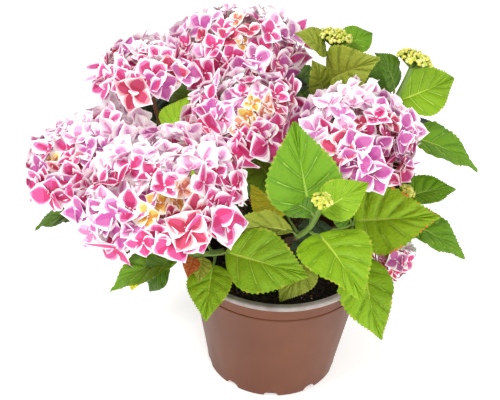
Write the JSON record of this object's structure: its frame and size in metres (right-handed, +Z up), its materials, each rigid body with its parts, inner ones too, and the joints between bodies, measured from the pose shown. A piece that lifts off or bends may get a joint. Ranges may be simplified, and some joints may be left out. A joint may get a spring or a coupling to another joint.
{
  "type": "hydrangea shrub",
  "caption": "Potted mophead hydrangea: rounded flower clusters, broad toothed leaves and flat bud heads on leafy stems, growing from soil in a tapered nursery pot.",
  "frame": {"origin": "centre of the pot's flat underside", "axes": "+Z up, the front of the plant faces -Y, +X to its right as seen from the front"},
  "size_m": [0.5235, 0.4502, 0.4308],
  "materials": {
    "pot_plastic": "brown moulded plastic with a soft sheen and a paler lip",
    "compost": "dark crumbly peat",
    "bark": "dull grey-brown bark, reddish towards the leafy stems",
    "leaf_green": "living leaves, lime to dark green, with paler veins",
    "petal_pink": "magenta-pink petals with white margins"
  },
  "bodies": {
    "root": {"pot": "pot_plastic", "soil": "compost", "crown": "bark", "cane_back": "bark", "cane_back_left": "bark", "cane_behind_left": "bark", "cane_behind_right": "bark", "cane_buds_back": "bark", "cane_buds_front": "bark", "cane_buds_low": "bark", "cane_buds_right": "bark", "cane_front_left": "bark", "cane_left": "bark", "cane_low_right": "bark", "cane_middle": "bark", "cane_right": "bark", "leaves_back": "leaf_green", "leaves_back_left": "leaf_green", "leaves_behind_left": "leaf_green", "leaves_behind_right": "leaf_green", "leaves_buds_back": "leaf_green", "leaves_buds_front": "leaf_green", "leaves_buds_low": "leaf_green", "leaves_buds_right": "leaf_green", "leaves_front_left": "leaf_green", "leaves_left": "leaf_green", "leaves_low_right": "leaf_green", "leaves_middle": "leaf_green", "leaves_right": "leaf_green", "bloom_back": "petal_pink", "bloom_back_left": "petal_pink", "bloom_behind_left": "petal_pink", "bloom_behind_right": "petal_pink", "bloom_front_left": "petal_pink", "bloom_left": "petal_pink", "bloom_low_right": "petal_pink", "bloom_middle": "petal_pink", "bloom_right": "petal_pink"}
  },
  "joints": []
}
